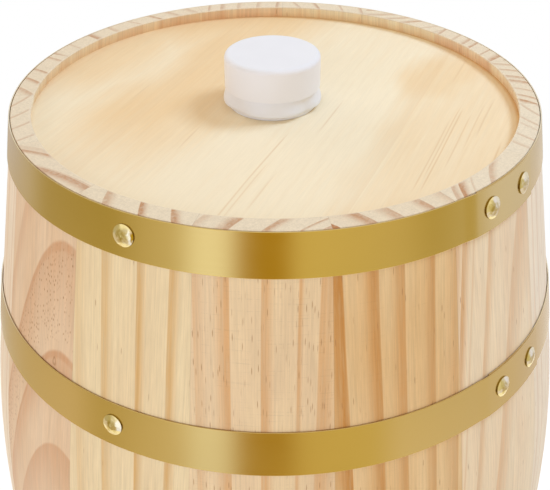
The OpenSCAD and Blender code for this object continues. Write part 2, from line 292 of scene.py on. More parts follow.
# %% Room
WHITE = (1.0, 1.0, 1.0, 1.0)
UPPER_WALLS = [
    (-180, (0.60, 0.58, 0.58)), (-118, (0.63, 0.64, 0.85)), (-104, (0.49, 0.45, 0.36)),
    (-66, (0.48, 0.43, 0.26)), (-50, (0.66, 0.64, 0.66)), (-38, (0.70, 0.69, 0.76)),
    (-29.5, (1.10, 1.26, 2.20)), (-19, (1.10, 1.26, 2.20)), (-12, (0.46, 0.31, 0.00)),
    (3, (0.47, 0.31, 0.00)), (9, (0.78, 0.74, 0.56)), (48, (0.69, 0.65, 0.55)),
    (64, (0.55, 0.50, 0.31)), (80, (0.60, 0.58, 0.54)), (96, (0.80, 0.89, 1.75)),
    (120, (0.76, 0.82, 1.18)), (150, (0.66, 0.66, 0.68)), (180, (0.60, 0.58, 0.58)),
]
LOWER_WALLS = [
    (-180, (0.62, 0.56, 0.45)), (-110, (0.66, 0.60, 0.55)), (-82, (0.75, 0.70, 0.86)),
    (-67, (0.58, 0.52, 0.41)), (-46, (0.70, 0.67, 0.78)), (-35, (0.72, 0.69, 0.84)),
    (-27, (0.90, 1.01, 1.80)), (-18, (0.90, 1.00, 1.78)), (-11, (0.49, 0.36, 0.14)),
    (4, (0.49, 0.36, 0.13)), (11, (0.69, 0.61, 0.42)), (37, (0.71, 0.65, 0.47)),
    (47, (0.80, 0.79, 1.14)), (70, (0.77, 0.76, 1.10)), (84, (0.74, 0.73, 1.00)),
    (120, (0.72, 0.70, 0.88)), (150, (0.86, 0.84, 0.84)), (180, (0.62, 0.56, 0.45)),
]
AMBIENT = (0.690, 0.570, 0.405, 1.0)
RING_SPLIT = (-0.43, -0.37)
CEILING = (0.1, 0.5)


def wall_ring(turn, walls):
    """A ring of walls as one ramp round the horizon."""
    stops = [((azimuth + 180) / 360, (*tint, 1.0)) for azimuth, tint in walls]
    return turn.bench.node("ShaderNodeValToRGB", {"stops": stops}, {"Fac": turn})


world = bpy.data.worlds.new("studio_room")
bpy.context.scene.world = world
room = Bench(world)
axes = room.node("ShaderNodeSeparateXYZ", None, {0: room.node("ShaderNodeTexCoord")})
height = axes.output("Z")
turn = axes.maths("ARCTAN2", axes, 0.0 - axes.output("Y")) / (2 * math.pi) + 0.5
walls = mix(fade(height, *RING_SPLIT), wall_ring(turn, LOWER_WALLS), wall_ring(turn, UPPER_WALLS))
mirrored = mix(fade(height, *CEILING), walls, WHITE)
rays = room.node("ShaderNodeLightPath")
seen = mix(rays.output("Is Glossy Ray"), AMBIENT, mirrored)
seen = mix(rays.most(rays.output("Is Transmission Ray")), seen, WHITE)
background = room.node("ShaderNodeBackground", None, {"Color": seen, "Strength": 1.0})
room.node("ShaderNodeOutputWorld", None, {"Surface": background})
bpy.context.scene.view_settings.view_transform = "Standard"
print("room with", len(UPPER_WALLS) + len(LOWER_WALLS), "stops in two rings of walls")

# %% [markdown]
# The floor is a round sheet, added as a circle and filled. It lies a hair under the foot, so that no two
# faces coincide. To the camera and in mirrors it glows a little, so that it joins the white room, and
# what is left of its own grey still takes the barrel's shadow.

# %% Floor
FLOOR_R = 0.55
FLOOR_Z = -0.0003
FLOOR_SIDES = 96
PAPER = (0.8, 0.8, 0.8, 1.0)
DIM_PAPER = (0.36, 0.36, 0.36, 1.0)
GLOW = 0.7
bpy.ops.object.select_all(action="DESELECT")
bpy.ops.mesh.primitive_circle_add(
    vertices=FLOOR_SIDES, radius=FLOOR_R, fill_type="NGON", location=(0, 0, FLOOR_Z)
)
floor = bpy.context.object
floor.name = "floor"
bench = Bench(bpy.data.materials.new("floor_paper"))
rays = bench.node("ShaderNodeLightPath")
direct = rays + rays.output("Is Glossy Ray") + rays.output("Is Transmission Ray")
paper = bench.node("ShaderNodeBsdfDiffuse", None, {"Color": PAPER})
dim = bench.node("ShaderNodeBsdfDiffuse", None, {"Color": DIM_PAPER})
glow = bench.node("ShaderNodeEmission", None, {"Color": WHITE, "Strength": GLOW})
lifted = bench.node("ShaderNodeAddShader", None, {0: dim, 1: glow})
both = bench.node("ShaderNodeMixShader", None, {0: direct, 1: paper, 2: lifted})
bench.node("ShaderNodeOutputMaterial", None, {"Surface": both})
dress(floor, bench.owner)
print("floor", 2 * FLOOR_R, "m across")

# %% [markdown]
# Three soft panels light the wood. The key stands on the right, a little behind and well above the rim,
# so the cap throws a short shadow to the left. A wide panel in front on the left fills the staves, and a
# low one behind on the left opens up the right wall of the recess. The key is cooler than the room, which
# is what makes the shadow look warm. All three are aimed at the upper part of the barrel.

# %% Lamps
AIM_H = 0.4
# A lamp has a place, a size, a power and a tint.
LAMPS = {
    "key_panel": ((1.00, 0.37, 1.72), 0.58, 13.0, (0.68, 0.985, 1.38)),
    "fill_panel": ((-0.9, -1.8, 0.75), 1.6, 15.4, (0.84, 1.0, 1.28)),
    "rim_panel": ((-1.15, 1.15, 0.85), 0.9, 5.0, (1.0, 1.0, 1.05)),
}
for name, (place, size, power, tint) in LAMPS.items():
    bpy.ops.object.light_add(type="AREA", location=place)
    lamp = bpy.context.object
    lamp.name = name
    lamp.data.size = size
    lamp.data.energy = power
    lamp.data.color = tint
    aim = floor.location - lamp.location
    aim.z += AIM_H
    lamp.rotation_euler = aim.to_track_quat("-Z", "Y").to_euler()
    lamp.visible_camera = False
    lamp.visible_glossy = False
print(len(LAMPS), "lamps")

# %% [markdown]
# ## Pine
# A log is a stack of cones, one a year. Each ring starts pale and ends in a dark edge of late wood that
# stops sharply. A board is a cut through that stack, so the rings are best drawn in the solid: the
# distance from the pith is one number, and every dark edge is a value of it. The same lines then run
# down the face of a stave and over its end grain, as they do in real wood.

# %% Rings, resin canals and knots
EDGE_CORE = 0.3
EDGE_CURVE = 1.3
EDGE_STOP = (0.4, 0.1)
WIDE_EDGE = 8.0
STRETCH_SOFT = 8.0
ROW_W, ROW_L = 2.2, 140
ROW_SHARE = (0.38, 0.62, 0.3, 1.7)
FAINTEST = 0.2
DASH_CORE = 0.3
KNOT_TAPER = (0.6, 3.0)
KNOT_LINE = (0.55, 0.95, 0.3)
KNOT_DARK = 0.9


def ring_edges(distance, along, edges):
    """How much late wood there is, 0 to 1.

    An edge is (distance, width of its fade, strength) and, if it is short, the stretch that it lies in.
    With a negative width it fades away from the pith.
    """
    late = None
    for place, width, strength, *stretch in edges:
        past, short = [math.copysign(stop, width) for stop in EDGE_STOP]
        core = EDGE_CORE * width if abs(width) < WIDE_EDGE else 0.0
        rise = fade(distance, place - width, place - core, 0.0, 1.0, "LINEAR") ** EDGE_CURVE
        line = rise * fade(distance, place + past, place - short, 0.0, strength)
        for low, high in stretch:
            line = line * window(along, low, high, STRETCH_SOFT)
        late = line if late is None else late.most(line)
    return late


def dashes(bench, across, along, size, share, seed):
    """Short marks along the grain, where resin canals are cut open. 1 inside a dark mark.

    Some rows have more of them than others.
    """
    wide, long, reach = size
    point = vector(bench, across / wide + seed, along / long, 0.0)
    cells = bench.node(
        "ShaderNodeTexVoronoi", {"voronoi_dimensions": "2D"}, {"Vector": point, "Scale": 1.0}
    )
    lot = bench.node("ShaderNodeSeparateColor", None, {0: cells.output("Color")})
    faint = fade(lot.output("Green"), 0.0, 1.0, FAINTEST, 1.0)
    row = noise(bench, vector(bench, across / ROW_W + seed, seed, along / ROW_L), 1.0)
    kept = lot > 1 - fade(row, *ROW_SHARE) * share
    return fade(cells, reach, reach * DASH_CORE) * kept * faint


def knot(across, along, half_w, half_h):
    """A small bark pocket: a dark drop-shaped line round a paler heart. 1 on the line."""
    across, along = across / half_w, along / half_h
    drop = fade(along, -1.0, 1.0, *KNOT_TAPER, "LINEAR")
    reach = (across * across * drop + along * along) ** 0.5
    return window(reach, *KNOT_LINE) * KNOT_DARK


print("rings, resin canals and knots can be drawn")

# %% [markdown]
# The finish itself puts those marks on the wood between them. Fibres, strands and flecks are three noises
# of different lengths along the grain: they make the wood lighter or darker, break up the dark edges and
# roughen the surface. The end grain, the painted light and shade inside the rim and the joint to the next
# board come on top.
# A grain value says how fine a noise is across the grain and along it. Two numbers or four make a fade:
# between which values it runs, and from what to what.

# %% The pine finish
SEED_STEP = 37.0
SWAY_W, SWAY_L = 60, 90
FIBRE_GRAIN = (1.7, 0.03)
STRAND_GRAIN = (0.5, 0.012)
FLECK_GRAIN = (0.8, 0.085)
TONE_GRAIN = (0.06, 0.012)
SCRATCH_GRAIN = (0.05, 1.3)
SPECK_GRAIN = (1.8, 0.9)
STRAND_BREAK = (0.25, 0.6, 0.65, 1.0)
FLECK_BREAK = (0.25, 0.6, 0.8, 1.05)
SCRATCH_CUT, SCRATCH_ROW = (0.56, 0.72), (0.4, 0.55)
INNER_FADE = 0.6
BAND_SOFT = 1.0
PINE_ROUGH, FIBRE_ROUGH, LATE_GLOSS, END_ROUGH = 0.55, 0.2, 0.06, 0.15
FIBRE_RELIEF, LATE_RELIEF, PORE_RELIEF, GAP_RELIEF = 0.5, 0.25, 0.6, 0.5
RELIEF_MM = 0.09
GAP_MM, GAP_LIGHT = 0.3, 0.88
END_CURVE, END_COVER, END_SPECK = 1.3, 0.9, 0.2
PORE_COVER = 0.8
SPECULAR = 0.35


def pine(bench, across, depth, along, wood, tone=None, end_grain=None, inner=None, gap=None):
    """A pine finish. Across, depth and along are the point in the board, in mm."""
    seed = wood["seed"] * SEED_STEP
    sway = noise(bench, vector(bench, across / SWAY_W, seed, along / SWAY_L), 1.0)
    pith_across, pith_depth = wood["pith"]
    side = across + (sway - 0.5) * wood["sway"] - pith_across
    inward = depth - pith_depth
    distance = (side * side + inward * inward) ** 0.5 + along * wood["lean"]
    fine, run = FIBRE_GRAIN
    fibre = noise(bench, vector(bench, across * fine + seed, depth * fine, along * run), 3.0, 0.6)
    fine, run = STRAND_GRAIN
    strand = noise(bench, vector(bench, across * fine, depth * fine + seed, along * run), 2.0)
    fine, run = FLECK_GRAIN
    fleck = noise(bench, vector(bench, across * fine + seed, depth * fine, along * run), 2.0, 0.6)
    late = ring_edges(distance, along, wood["edges"]) * fade(strand, *STRAND_BREAK)
    late = late * fade(fleck, *FLECK_BREAK)
    if inner is not None:
        late = late * (1 - inner * INNER_FADE)
    pores = dashes(bench, across, along, wood["pore_size"], wood["pores"], seed)
    if wood["pore_band"]:
        pores = pores * window(distance, *wood["pore_band"], BAND_SOFT)
    for place, level, half_w, half_h in wood["knots"]:
        pores = pores.most(knot(across - place, along - level, half_w, half_h))

    if tone is None:
        fine, run = TONE_GRAIN
        tone = noise(bench, vector(bench, across * fine + seed, seed, along * run), 2.0)
        tone = fade(tone, 0.3, 0.7)
    tint = mix(late, mix(tone, wood["pale"], wood["warm"]), wood["late"])
    light = 1.0 + (fibre - 0.5) * wood["fibre"] + (strand - 0.5) * wood["strand"]
    light = light + (fleck - 0.5) * wood["fleck"]
    height = fibre * FIBRE_RELIEF + late * LATE_RELIEF - pores * PORE_RELIEF
    rough = PINE_ROUGH + (fibre - 0.5) * FIBRE_ROUGH - late * LATE_GLOSS
    if wood["scratches"]:
        fine, run = SCRATCH_GRAIN
        scratch = noise(bench, vector(bench, across * fine, seed, along * run), 2.0)
        scratch = fade(scratch, *SCRATCH_CUT) * fade(strand, *SCRATCH_ROW)
        light = light - scratch * wood["scratches"]
    if gap is not None:
        light = light * fade(gap, 0.0, GAP_MM, GAP_LIGHT, 1.0)
        height = height + fade(gap, 0.0, GAP_MM, 0.0, GAP_RELIEF)
    # The inner tint is painted light and shade, laid on the inside face of a stave or the corner of a
    # head.
    if inner is not None:
        tint = mix(inner, tint, wood["inner"], "MULTIPLY")
    if end_grain is not None:
        fine, deep = SPECK_GRAIN
        speck = noise(bench, vector(bench, across * fine, depth * deep, seed), 3.0, 0.7)
        cut = mix(late**END_CURVE, wood["end_pale"], wood["end_late"])
        tint = mix(end_grain * END_COVER, tint, shade(1.0 + (speck - 0.5) * END_SPECK, cut))
        pores = pores * (1 - end_grain)
        rough = rough + end_grain * END_ROUGH
    tint = mix(pores * PORE_COVER, shade(light, tint), wood["pore"])
    inputs = {"Base Color": tint, "Roughness": rough, "Specular IOR Level": SPECULAR}
    return surface(bench, inputs, height, RELIEF_MM)


def wood_of(seed, pale, warm, late, pith, lean, edges, **more):
    """Gathers what tells one board from another. Edges are given as their distance from the pith."""
    wood = {
        "seed": seed,
        "pale": colour(*pale),
        "warm": colour(*warm),
        "late": colour(*late),
        "inner": colour(255, 254, 252),
        "end_pale": colour(229, 214, 190),
        "end_late": colour(178, 120, 78),
        "pore": colour(164, 116, 74),
        "pith": pith,
        "lean": lean,
        "edges": edges,
        "sway": 3.0,
        "fibre": 0.36,
        "strand": 0.14,
        "fleck": 0.2,
        "scratches": 0.0,
        "pores": 0.06,
        "pore_size": (1.25, 14.0, 0.17),
        "pore_band": None,
        "knots": [],
    }
    return {**wood, **more}


print("pine is ready to cut")

# %% [markdown]
# ### Staves
# No two staves are alike, so each one gets its own cut. The staves on the shown side are set one by one:
# where the dark edges lie across the face, how wide they fade, and where the pith of the log was. One was
# sawn flat through the rings, so that they close in arches, and those are given by their heights. An edge
# that shows only in part also has the stretch of heights that it lies in.

# %% Cuts given one by one
EDGE_LEVEL = 400.0
ARCH_TOP = 22.0
RIM = (446, 470)
UPPER_PART = (370, 460)


def from_pith(pith, lean, place, level):
    """Distance from the pith to a point of the round face, given across it and by its height."""
    round_off = wood_r(level) - math.sqrt(wood_r(level) ** 2 - place**2)
    return math.hypot(place - pith[0], round_off - pith[1]) + lean * level


def across_edges(pith, lean, lines):
    """Edges given by their place across the face, as distances from the pith."""
    return [(from_pith(pith, lean, line[0], EDGE_LEVEL), *line[1:]) for line in lines]


def arched_edges(pith, lean, lines):
    """Edges given by the height at which their arch closes, as distances from the pith."""
    return [(from_pith(pith, lean, ARCH_TOP, line[0]), *line[1:]) for line in lines]


SHOWN_STAVES = {
    15: dict(
        pale=(236, 217, 178), warm=(231, 209, 170), late=(211, 168, 106), pith=(70, 38), lean=-0.01,
        lines=[(-28, 6, 0.3), (-13, 6, 0.65), (4.5, 4.2, 0.9), (18.8, 5, 0.85), (31, 5, 0.3)],
        pores=0.03, sway=1.5,
    ),
    1: dict(
        pale=(235, 211, 173), warm=(229, 203, 168), late=(214, 163, 108), pith=(65, -45), lean=0.0,
        lines=[(-27, 5, 0.4), (-12.7, -6.5, 0.75), (-0.1, 4.5, 0.75), (14.2, 1.4, 0.7), (22.4, 5, 0.65)],
        pores=0.52, scratches=0.09, sway=1.5,
    ),
    2: dict(
        pale=(234, 205, 160), warm=(227, 192, 142), late=(200, 142, 76), pith=(-76, -25), lean=0.0,
        lines=[
            (-23.4, 7, 1.0), (-23.4, 16, 0.75), (-8.8, 7.5, 0.8), (-8.8, 14, 0.35), (2.4, 7, 0.65),
            (16.7, 6, 0.7), (29, 9, 0.7),
        ],
        pores=0.15, sway=1.5, scratches=0.04,
    ),
    3: dict(
        pale=(242, 225, 197), warm=(239, 217, 187), late=(218, 175, 128), pith=(38, -45), lean=0.1,
        lines=[
            (-30.2, 3.8, 0.6, UPPER_PART), (-26.6, 4.5, 0.9), (-20.5, 1.2, 0.4), (-10.9, 4, 0.6),
            (8.8, 6.5, 0.55), (21, 2.5, 0.25),
        ],
        pores=0.06, sway=1.0,
    ),
    4: dict(
        pale=(246, 233, 212), warm=(242, 226, 203), late=(216, 181, 144), pith=(60, -35), lean=0.05,
        lines=[(-23, 3, 0.4), (-15, 2, 0.5), (-5, 2, 0.35), (0, 2, 0.5), (10, 2, 0.5), (19, 3, 0.5)],
    ),
    13: dict(
        pale=(241, 225, 202), warm=(237, 216, 190), late=(212, 174, 136), pith=(-60, -40), lean=0.03,
        lines=[(-24, 3, 0.5), (-11, 2, 0.5), (1, 2, 0.5), (12, 2, 0.5), (24, 2, 0.5)],
    ),
    14: dict(
        pale=(230, 203, 172), warm=(225, 194, 160), late=(205, 155, 114), pith=(35.4, -78.5), lean=0.224,
        arches=[
            (540, 6, 0.3), (482, 6, 0.35), (426, 2.2, 0.8), (426, 11, 0.62), (373, 1.8, 0.85),
            (373, 7.5, 0.55), (322, 11, 0.7), (293, 6, 0.75), (240, 10, 0.7), (180, 10, 0.7),
            (130, 10, 0.7), (70, 10, 0.7), (10, 9, 0.7), (526, 3.5, 0.85, RIM), (478, 6, 0.9, RIM),
        ],
        pores=0.6, pore_size=(1.4, 2.8, 0.32), speckled=(380, 424), knots=[(16.9, 366, 1.6, 2.4)],
        sway=1.5,
    ),
}
print(len(SHOWN_STAVES), "cuts set by eye")

# %% [markdown]
# The other staves are drawn from a seeded chance, somewhere between a fair log and a red one. Across and
# depth are measured on the bent stave, so the lines follow its bulge. Inside the rim the wood carries
# painted light: it is painted lighter and cooler at the top and has a painted shade down in the corner.

# %% Cuts by chance, and the finish of a stave
FAIR_LOG = {"pale": (237, 217, 182), "warm": (231, 205, 167), "late": (211, 163, 110)}
RED_LOG = {"pale": (232, 204, 169), "warm": (223, 185, 149), "late": (203, 145, 98)}
FACE_W = 70
# The inside wall is painted: lighter and cooler at its top, and a painted shade at its foot.
WALL_TOP_LIGHT = (1.0, 1.08, 1.16, 1.0)
WALL_FOOT_SHADE = (0.98, 0.95, 0.88, 1.0)
WALL_SHADE_FADE = (0.8, HEAD_DROP)
END_CUT = (1.0, 0.25)
INNER_SKIN = (1.2, 0.4)
chance = random.Random(15)


def hidden_stave():
    """A stave from anywhere in the log, by chance."""
    side = chance.choice((-1, 1))
    pith = (side * chance.uniform(40, 80), chance.uniform(-50, 50))
    step = chance.uniform(7, 15)
    count = int(FACE_W / step)
    lines = []
    for k in range(count + 1):
        place = (k - count / 2) * step + chance.uniform(-2, 2)
        lines.append((place, chance.uniform(1.5, 5), chance.uniform(0.4, 0.8)))
    red = chance.uniform(0, 1)
    tints = {
        part: [fair + (full - fair) * red for fair, full in zip(tint, RED_LOG[part])]
        for part, tint in FAIR_LOG.items()
    }
    lean, pores = chance.uniform(-0.05, 0.05), chance.uniform(0.02, 0.2)
    return dict(pith=pith, lean=lean, lines=lines, pores=pores, **tints)


def stave_finish(index, cut):
    """The finish of one stave, on its own coordinates."""
    bench = Bench(bpy.data.materials.new("stave_pine_%02d" % index))
    x, y, z = place_mm(bench)
    start, end = [math.radians(stave_az(index + k)) for k in (0, 1)]
    middle = (start + end) / 2
    across = x * math.cos(middle) + y * math.sin(middle)
    out = x * math.sin(middle) - y * math.cos(middle)
    rise = abs(z - HALF_H)
    bend = rise.maths("MINIMUM", rise, BEND_L)
    face = BELLY_R - bend * bend * (0.5 / BEND_R) - (rise - bend) * math.tan(TAPER)
    turned = abs(across.maths("ARCTAN2", across, out))
    gap = ((end - start) / 2 - turned) * out
    round_face = face - (across * across + out * out) ** 0.5
    more = {key: value for key, value in cut.items() if key not in ("lines", "arches", "speckled")}
    pith, lean = cut["pith"], cut["lean"]
    if "arches" in cut:
        more["edges"] = arched_edges(pith, lean, cut["arches"])
        more["pore_band"] = [from_pith(pith, lean, ARCH_TOP, level) for level in cut["speckled"]]
    else:
        more["edges"] = across_edges(pith, lean, cut["lines"])
    # The low part of the inside wall is where the painted shade lies; its top gets the painted lighter
    # tint.
    end_grain, low = [fade(rise, *[HALF_H - drop for drop in span]) for span in (END_CUT, WALL_SHADE_FADE)]
    inner = fade(round_face, *[STAVE_T - skin for skin in INNER_SKIN])
    more["inner"] = mix(low, WALL_TOP_LIGHT, WALL_FOOT_SHADE)
    return pine(bench, across, face - out, z, wood_of(index, **more), None, end_grain, inner, gap)


for index in range(1, STAVE_COUNT + 1):
    cut = SHOWN_STAVES.get(index) or hidden_stave()
    dress(nodes["stave_%02d" % index], stave_finish(index, cut))
print(STAVE_COUNT, "staves cut,", len(SHOWN_STAVES), "of them by eye")

# %% [markdown]
# ### Heads
# A head is three boards edge to edge, planed smooth and paler than the staves. Its grain runs across
# the picture from lower left to upper right. Broad warm clouds lie on a pale ground, and a few thin lines
# come in small groups and run out after a hand's breadth. The corner under the rim has a little painted
# shade, most of all on the right.

# %% The boards of both heads
GRAIN_ANGLE = math.radians(67.5)
BOARD_SEED = 40
# The inner tint of the boards is the painted shade in the corner under the rim.
HEAD_CUT = dict(
    pale=(244, 229, 200), warm=(237, 206, 161), late=(219, 183, 138), inner=colour(234, 212, 174),
    pith=(-300.0, 120.0), lean=0.012, pores=0.0, sway=2.5, fibre=0.1, strand=0.06, fleck=0.08,
)
# Where the painted shade in the corner lies: its radius, its width and how it fades across the grain.
CORNER_R = wood_r(HEAD_Z) - STAVE_T
CORNER_SHADE_W = 2.5
CORNER_SHADE_SIDE = (-60, 40, 0.2, 1.0)
DRIFT_GRAIN, STREAK_GRAIN = (0.02, 0.012), (0.4, 0.02)
DRIFT_MM, FAR_DRIFT_MM = 46, 40
LEFT_CLOUD, LEFT_RUN = (-72, -22, 20), (-105, -25, 0.2, 0.95)
MARGIN_CLOUD, MARGIN_RUN = (-64, -98), (-45, 0)
FAR_CLOUD, FAR_RUN = (35, 105), (5, -40, 0.1, 1.0)
RIGHT_CLOUD = (60, 130, 12)
WISP, WISP_RUN = (54, 78, 8), (28, 92, 20)
MARGIN_WARM, RIGHT_WARM, WISP_WARM, DRIFT_WARM, STREAK_WARM = 0.8, 0.5, 0.75, 0.3, 0.5
BOARD_LINES = {
    1: [(-66, 0.9, 0.4, (-22, -4)), (-52, 16, 0.12)],
    2: [
        (-22, 0.9, 0.5, (-58, -40)), (18, 0.9, 0.5, (-108, -32)), (20.3, 0.8, 0.35, (-105, -62)),
        (26.8, 1.0, 0.35, (-95, -70)), (30.3, 0.8, 0.45, (-18, 10)),
    ],
    3: [
        (65, 1.2, 0.15, (-80, 40)), (65, 14, 0.2), (75, 1.0, 0.4, (56, 84)), (84, 0.8, 0.5, (-54, 10)),
        (85.6, 0.7, 0.5, (-40, 26)), (87.2, 0.8, 0.6, (-52, 24)), (92, 0.8, 0.45, (-30, 20)),
        (95.6, 0.8, 0.4, (-10, 34)), (98.6, 1.0, 0.5, (4, 40)), (110, 1.0, 0.6, (-20, -3)),
    ],
}


def head_tone(bench, y, across, along):
    """Where the boards are warm: clouds on the left, far off and on the right, streaked by the grain."""
    fine, run = DRIFT_GRAIN
    drift = noise(bench, vector(bench, across * fine, along * run, 3.0), 2.0)
    fine, run = STREAK_GRAIN
    streak = noise(bench, vector(bench, across * fine, along * run, 5.0), 2.0)
    moved = across + (drift - 0.5) * DRIFT_MM
    left = window(moved, *LEFT_CLOUD) * fade(along, *LEFT_RUN)
    margin = fade(moved, *MARGIN_CLOUD) * fade(along, *MARGIN_RUN) * MARGIN_WARM
    far = fade(y + (drift - 0.5) * FAR_DRIFT_MM, *FAR_CLOUD) * fade(across, *FAR_RUN)
    right = window(moved, *RIGHT_CLOUD) * RIGHT_WARM
    wisp = window(moved, *WISP) * window(along, *WISP_RUN) * WISP_WARM
    clouds = left.most(margin).most(far).most(right).most(wisp)
    return clouds + (drift - 0.5) * DRIFT_WARM + (streak - 0.5) * STREAK_WARM


def board_finish(name, number, face_z):
    """The finish of one board of a head whose outer face is at a height."""
    bench = Bench(bpy.data.materials.new(name))
    x, y, z = place_mm(bench)
    across = x * math.sin(GRAIN_ANGLE) - y * math.cos(GRAIN_ANGLE)
    along = x * math.cos(GRAIN_ANGLE) + y * math.sin(GRAIN_ANGLE)
    pith_across, pith_depth = HEAD_CUT["pith"]
    edges = [
        (math.hypot(place - pith_across, pith_depth), *line)
        for place, *line in BOARD_LINES[number]
    ]
    wood = wood_of(BOARD_SEED + number, edges=edges, **HEAD_CUT)
    tone = head_tone(bench, y, across, along)
    # Painted shade in the corner under the rim, strongest on the right, laid on as the inner tint.
    corner = fade((across * across + along * along) ** 0.5, CORNER_R - CORNER_SHADE_W, CORNER_R)
    corner = corner * fade(across, *CORNER_SHADE_SIDE)
    return pine(bench, across, abs(z - face_z), along, wood, tone, None, corner)


for end, face_z in (("top", HEAD_Z), ("bottom", BARREL_H - HEAD_Z)):
    for number in BOARD_LINES:
        name = "%s_head_board_%d" % (end, number)
        dress(nodes[name], board_finish(name.replace("head", "head_pine"), number, face_z))
print("two heads of", len(BOARD_LINES), "boards")

# %% [markdown]
# ## Brass
# The hoops are rolled strip with a satin face, so they mirror the room softly. Their sheared edges are
# given a dark painted shade line in front, where the shadow falls against the wood, and are paler behind.
# The rivets and nails are polished. Their heads were struck, so they are not quite round. A dark patch on
# the crown of each is a painted reflection, and a dark ring round the foot is painted shade.

# %% Brass finishes
BRASS = (0.76, 0.52, 0.125, 1.0)
# The two edge colours paint a shade line on the sheared edges in front and a paler edge behind.
SHADED_EDGE = (0.60, 0.44, 0.19, 1.0)
PALE_EDGE = (0.88, 0.80, 0.64, 1.0)
POLISHED = (1.0, 0.82, 0.38, 1.0)
# The next two colours paint a reflection on the crown of the fixings and a shade round their foot.
CROWN_REFLECTION = (0.60, 0.41, 0.08, 1.0)
FOOT_SHADE = (0.34, 0.25, 0.06, 1.0)
CLOUD_GRAIN, ROLLED_GRAIN = (0.03, 0.05), (0.05, 2.2)
UNEVEN = 0.06
HOOP_ROUGH, SHEARED_ROUGH, FIXING_ROUGH = 0.21, 0.3, 0.15
SHEARED_UP, SHEARED_IN = (0.45, 0.75), (-0.2, -0.6)
EDGE_SHADE_AZ = (0.8, 1.4)
FOOT_EDGE, CROWN_EDGE = (0.65, 0.4), (0.935, 0.99)
CROWN_TILT, CROWN_COVER = 0.13, 0.85
STRUCK_SIZE, STRUCK_MM = 0.32, 0.4
FINE_SIZE = 0.5
ROLLED_MM = 0.01


def lean_of(bench, x, y):
    """How far a face looks away from the barrel's axis, and how far it looks up."""
    normal = bench.node("ShaderNodeNewGeometry", output="Normal")
    lean = bench.node("ShaderNodeSeparateXYZ", None, {0: normal})
    return (lean * x + lean.output("Y") * y) / (x * x + y * y) ** 0.5, lean.output("Z")


def hoop_brass():
    """Rolled strip: satin on its faces, and duller where it was sheared."""
    bench = Bench(bpy.data.materials.new("hoop_brass"))
    x, y, z = place_mm(bench)
    flat, up = CLOUD_GRAIN
    cloud = noise(bench, vector(bench, x * flat, y * flat, z * up), 2.0)
    flat, up = ROLLED_GRAIN
    rolled = noise(bench, vector(bench, x * flat, y * flat, z * up), 3.0)
    rough = HOOP_ROUGH + (rolled - 0.5) * UNEVEN + (cloud - 0.5) * UNEVEN
    tint = shade(1.0 + (cloud - 0.5) * UNEVEN, BRASS)
    facing, upright = lean_of(bench, x, y)
    sheared = fade(abs(upright), *SHEARED_UP).most(fade(facing, *SHEARED_IN))
    # Painted shade: the sheared edges are dark in front and turn paler towards the back.
    edge = mix(fade(abs(x.maths("ARCTAN2", x, 0.0 - y)), *EDGE_SHADE_AZ), SHADED_EDGE, PALE_EDGE)
    inputs = {
        "Base Color": mix(sheared, tint, edge),
        "Roughness": rough + sheared * SHEARED_ROUGH,
        "Metallic": 1.0,
    }
    return surface(bench, inputs, rolled * 0.3 + cloud, ROLLED_MM)


def fixing_brass():
    """Polished heads, with a painted reflection on the crown and painted shade round the foot."""
    bench = Bench(bpy.data.materials.new("fixing_brass"))
    x, y, z = place_mm(bench)
    struck, fine = [
        noise(bench, vector(bench, x * size, y * size, z * size), 1.0)
        for size in (STRUCK_SIZE, FINE_SIZE)
    ]
    facing, upright = lean_of(bench, x, y)
    # Painted shade: a dark ring round the foot of each dome.
    foot = fade(facing, *FOOT_EDGE)
    # Painted reflection: a dark patch on the crown of each dome.
    crown = fade(facing + upright * CROWN_TILT, *CROWN_EDGE) * fade(fine, 0.3, 0.6)
    tint = mix(crown * CROWN_COVER, shade(0.95 + (fine - 0.5) * 0.2, POLISHED), CROWN_REFLECTION)
    tint = mix(foot, tint, FOOT_SHADE)
    rough = FIXING_ROUGH + (fine - 0.5) * 0.08
    inputs = {"Base Color": tint, "Roughness": rough, "Metallic": 1.0}
    return surface(bench, inputs, struck, STRUCK_MM)


brass, polished = hoop_brass(), fixing_brass()
for name, node in nodes.items():
    if name.endswith("_hoop"):
        dress(node, brass)
    elif name.endswith(("_rivets", "_nails")):
        dress(node, polished)
print("brass on four hoops and their fixings")

# %% [markdown]
# ### Hoops as bent strips
# The solid hoop is a ring with a flat ramp at its lap. A real one is a single strip with broken edges:
# its inner end lies on the wood, it runs once round, climbs onto itself in a gentle S and ends on top.
# So a small section is drawn, its corners are bevelled, and it is spun round the axis, pushed out step by
# step on the climb, and spun on over the lap.

# %% Tools for modelled pieces
AXIS = dict(center=(0, 0, 0), axis=(0, 0, 1))
SEAM = 0.002


def pick(piece, test):
    """Selects the vertices whose place in millimetres, or whose number, passes a test."""
    bpy.ops.mesh.select_mode(type="VERT")
    bpy.ops.mesh.select_all(action="DESELECT")
    bpy.ops.object.mode_set(mode="OBJECT")
    for vertex in piece.data.vertices:
        vertex.select = bool(test(piece.matrix_world @ vertex.co / MM, vertex.index))
    bpy.ops.object.mode_set(mode="EDIT")


def only(piece):
    """Selects one piece and nothing else."""
    bpy.ops.object.select_all(action="DESELECT")
    piece.select_set(True)
    bpy.context.view_layer.objects.active = piece


def close_piece(piece, name, smooth):
    """Brings a modelled piece to the origin, merges its seams and turns its faces outwards."""
    only(piece)
    bpy.ops.object.transform_apply(location=True, rotation=True, scale=True)
    bpy.ops.object.mode_set(mode="EDIT")
    bpy.ops.mesh.select_all(action="SELECT")
    bpy.ops.mesh.remove_doubles(threshold=SEAM * MM)
    bpy.ops.mesh.normals_make_consistent(inside=False)
    bpy.ops.object.mode_set(mode="OBJECT")
    bpy.ops.object.shade_smooth_by_angle(angle=math.radians(smooth))
    piece.name = piece.data.name = name
    return piece


